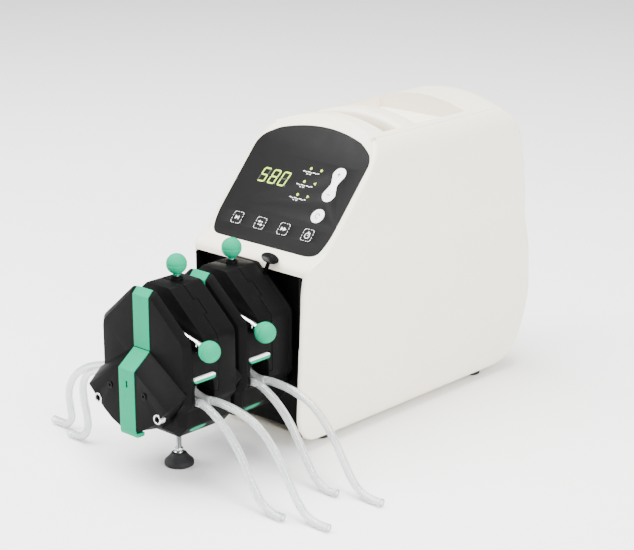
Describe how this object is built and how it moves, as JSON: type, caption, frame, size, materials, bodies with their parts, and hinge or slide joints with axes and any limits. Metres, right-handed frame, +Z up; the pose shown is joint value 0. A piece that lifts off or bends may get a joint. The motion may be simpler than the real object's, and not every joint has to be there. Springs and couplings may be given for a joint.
{
  "type": "peristaltic pump",
  "caption": "Bench peristaltic pump: a white drive unit with key panel and carry handle, and stacked black roller heads with teal trim, levers and silicone tubing.",
  "frame": {"origin": "on the bench, under the middle of the pump without its tubing", "axes": "+X to the right seen from the front, +Y to the back along the drive shaft, +Z up from the bench"},
  "size_m": [0.3411, 0.4744, 0.278],
  "materials": {
    "cream_plastic": "fine-grained moulded ABS, satin",
    "overlay_film": "dark grey printed polyester overlay, satin",
    "white_key_plastic": "white domed key, satin",
    "black_plastic": "black machined and moulded plastic, satin",
    "teal_plastic": "teal moulded plastic, light gloss",
    "polished_steel": "polished stainless steel",
    "roller_nylon": "turned white nylon",
    "silicone_tube": "clear to milky silicone rubber",
    "foot_rubber": "dark grey rubber, matte",
    "motor_metal": "bare metal",
    "circuit_board": "green glass-fibre board"
  },
  "bodies": {
    "pump_frame": {"left_side_shell": "cream_plastic", "right_side_shell": "cream_plastic", "top_cover": "cream_plastic", "handle_grip": "cream_plastic", "rear_cover": "cream_plastic", "base_plate": "cream_plastic", "control_overlay": "overlay_film", "front_panel": "black_plastic", "adapter_flange": "black_plastic", "power_inlet": "black_plastic", "gear_motor": "motor_metal", "circuit_board": "circuit_board", "front_left_foot": "foot_rubber", "front_right_foot": "foot_rubber", "rear_left_foot": "foot_rubber", "rear_right_foot": "foot_rubber", "left_tie_bolt": "polished_steel", "right_tie_bolt": "polished_steel", "cap_stripe": "teal_plastic", "front_head_housing": "black_plastic", "front_head_cover": "black_plastic", "front_lower_cap": "black_plastic", "front_cover_stripe": "teal_plastic", "front_tube_a": "silicone_tube", "front_tube_b": "silicone_tube", "rear_head_housing": "black_plastic", "rear_head_cover": "black_plastic", "rear_lower_cap": "black_plastic", "rear_cover_stripe": "teal_plastic", "rear_tube_a": "silicone_tube", "rear_tube_b": "silicone_tube"},
    "rear_rotor": {"rear_rotor": "polished_steel"},
    "rear_roller_1": {"rear_roller_1": "roller_nylon"},
    "rear_roller_2": {"rear_roller_2": "roller_nylon"},
    "rear_roller_3": {"rear_roller_3": "roller_nylon"},
    "rear_head_jaw": {"rear_head_jaw": "black_plastic"},
    "rear_lever": {"rear_lever": "polished_steel", "rear_lever_ball": "teal_plastic"},
    "rear_lock_pin": {"rear_lock_pin": "teal_plastic"},
    "rear_clamp_button": {"rear_clamp_button": "teal_plastic"},
    "front_rotor": {"front_rotor": "polished_steel"},
    "front_roller_1": {"front_roller_1": "roller_nylon"},
    "front_roller_2": {"front_roller_2": "roller_nylon"},
    "front_roller_3": {"front_roller_3": "roller_nylon"},
    "front_head_jaw": {"front_head_jaw": "black_plastic"},
    "front_lever": {"front_lever": "polished_steel", "front_lever_ball": "teal_plastic"},
    "front_lock_pin": {"front_lock_pin": "teal_plastic"},
    "front_clamp_button": {"front_clamp_button": "teal_plastic"},
    "release_knob": {"release_knob": "black_plastic"},
    "start_key": {"start_key": "overlay_film"},
    "direction_key": {"direction_key": "overlay_film"},
    "fast_key": {"fast_key": "overlay_film"},
    "timer_key": {"timer_key": "overlay_film"},
    "function_key": {"function_key": "white_key_plastic"},
    "plus_minus_key": {"plus_minus_key": "white_key_plastic"},
    "power_switch": {"power_switch": "black_plastic"},
    "levelling_foot": {"levelling_stem": "polished_steel", "levelling_pad": "foot_rubber"}
  },
  "joints": [
    {"name": "rear_rotor_spin", "type": "hinge", "parent": "pump_frame", "child": "rear_rotor", "pos_m": [-0.00155, -0.1336, 0.09], "axis": [0, 1, 0], "continuous": true},
    {"name": "rear_roller_1_spin", "type": "hinge", "parent": "rear_rotor", "child": "rear_roller_1", "pos_m": [-0.00155, -0.1336, 0.11], "axis": [0, 1, 0], "continuous": true},
    {"name": "rear_roller_2_spin", "type": "hinge", "parent": "rear_rotor", "child": "rear_roller_2", "pos_m": [-0.01887, -0.1336, 0.08], "axis": [0, 1, 0], "continuous": true},
    {"name": "rear_roller_3_spin", "type": "hinge", "parent": "rear_rotor", "child": "rear_roller_3", "pos_m": [0.01577, -0.1336, 0.08], "axis": [0, 1, 0], "continuous": true},
    {"name": "rear_lever_swing", "type": "hinge", "parent": "pump_frame", "child": "rear_lever", "pos_m": [-0.00155, -0.1406, 0.143], "axis": [0, -1, 0], "range_deg": [0, 200]},
    {"name": "rear_jaw_lift", "type": "slide", "parent": "pump_frame", "child": "rear_head_jaw", "axis": [0, 0, 1], "range_m": [0, 0.006], "stiffness_N_per_m": 20, "springref_m": 0.0624},
    {"name": "rear_lock_pin_pull", "type": "slide", "parent": "pump_frame", "child": "rear_lock_pin", "axis": [0, 0, 1], "range_m": [0, 0.004], "stiffness_N_per_m": 600, "springref_m": -0.002},
    {"name": "rear_clamp_button_press", "type": "slide", "parent": "rear_head_jaw", "child": "rear_clamp_button", "axis": [-1, 0, 0], "range_m": [0, 0.0025], "stiffness_N_per_m": 800, "springref_m": -0.002},
    {"name": "front_rotor_spin", "type": "hinge", "parent": "pump_frame", "child": "front_rotor", "pos_m": [-0.00155, -0.1986, 0.09], "axis": [0, 1, 0], "continuous": true},
    {"name": "front_roller_1_spin", "type": "hinge", "parent": "front_rotor", "child": "front_roller_1", "pos_m": [-0.00155, -0.1986, 0.11], "axis": [0, 1, 0], "continuous": true},
    {"name": "front_roller_2_spin", "type": "hinge", "parent": "front_rotor", "child": "front_roller_2", "pos_m": [-0.01887, -0.1986, 0.08], "axis": [0, 1, 0], "continuous": true},
    {"name": "front_roller_3_spin", "type": "hinge", "parent": "front_rotor", "child": "front_roller_3", "pos_m": [0.01577, -0.1986, 0.08], "axis": [0, 1, 0], "continuous": true},
    {"name": "front_lever_swing", "type": "hinge", "parent": "pump_frame", "child": "front_lever", "pos_m": [-0.00155, -0.2056, 0.143], "axis": [0, -1, 0], "range_deg": [0, 200]},
    {"name": "front_jaw_lift", "type": "slide", "parent": "pump_frame", "child": "front_head_jaw", "axis": [0, 0, 1], "range_m": [0, 0.006], "stiffness_N_per_m": 20, "springref_m": 0.0624},
    {"name": "front_lock_pin_pull", "type": "slide", "parent": "pump_frame", "child": "front_lock_pin", "axis": [0, 0, 1], "range_m": [0, 0.004], "stiffness_N_per_m": 600, "springref_m": -0.002},
    {"name": "front_clamp_button_press", "type": "slide", "parent": "front_head_jaw", "child": "front_clamp_button", "axis": [-1, 0, 0], "range_m": [0, 0.0025], "stiffness_N_per_m": 800, "springref_m": -0.002},
    {"name": "release_knob_pull", "type": "slide", "parent": "pump_frame", "child": "release_knob", "axis": [0.4067, 0, 0.9135], "range_m": [0, 0.004], "stiffness_N_per_m": 500, "springref_m": -0.002},
    {"name": "start_key_press", "type": "slide", "parent": "pump_frame", "child": "start_key", "axis": [0, 0.749, -0.6626], "range_m": [0, 0.0005], "stiffness_N_per_m": 1500, "springref_m": -0.0005},
    {"name": "direction_key_press", "type": "slide", "parent": "pump_frame", "child": "direction_key", "axis": [0, 0.749, -0.6626], "range_m": [0, 0.0005], "stiffness_N_per_m": 1500, "springref_m": -0.0005},
    {"name": "fast_key_press", "type": "slide", "parent": "pump_frame", "child": "fast_key", "axis": [0, 0.749, -0.6626], "range_m": [0, 0.0005], "stiffness_N_per_m": 1500, "springref_m": -0.0005},
    {"name": "timer_key_press", "type": "slide", "parent": "pump_frame", "child": "timer_key", "axis": [0, 0.749, -0.6626], "range_m": [0, 0.0005], "stiffness_N_per_m": 1500, "springref_m": -0.0005},
    {"name": "function_key_press", "type": "slide", "parent": "pump_frame", "child": "function_key", "axis": [0, 0.749, -0.6626], "range_m": [0, 0.0005], "stiffness_N_per_m": 1500, "springref_m": -0.0005},
    {"name": "plus_minus_key_rock", "type": "hinge", "parent": "pump_frame", "child": "plus_minus_key", "pos_m": [0.04145, -0.02758, 0.2288], "axis": [1, 0, 0], "range_deg": [-2, 2], "stiffness_Nm_per_rad": 0.5},
    {"name": "power_switch_rock", "type": "hinge", "parent": "pump_frame", "child": "power_switch", "pos_m": [0.01745, 0.2262, 0.06], "axis": [1, 0, 0], "range_deg": [0, 16]},
    {"name": "levelling_foot_screw", "type": "slide", "parent": "pump_frame", "child": "levelling_foot", "axis": [0, 0, 1], "range_m": [0, 0.008]}
  ],
  "couplings": [
    {"joint": "rear_roller_1_spin", "follows": "rear_rotor_spin", "ratio": -3.8571},
    {"joint": "rear_roller_2_spin", "follows": "rear_rotor_spin", "ratio": -3.8571},
    {"joint": "rear_roller_3_spin", "follows": "rear_rotor_spin", "ratio": -3.8571},
    {"joint": "rear_jaw_lift", "follows": "rear_lever_swing", "m_per_rad": 0.0017189},
    {"joint": "front_rotor_spin", "follows": "rear_rotor_spin", "ratio": 1},
    {"joint": "front_roller_1_spin", "follows": "rear_rotor_spin", "ratio": -3.8571},
    {"joint": "front_roller_2_spin", "follows": "rear_rotor_spin", "ratio": -3.8571},
    {"joint": "front_roller_3_spin", "follows": "rear_rotor_spin", "ratio": -3.8571},
    {"joint": "front_jaw_lift", "follows": "front_lever_swing", "m_per_rad": 0.0017189}
  ]
}
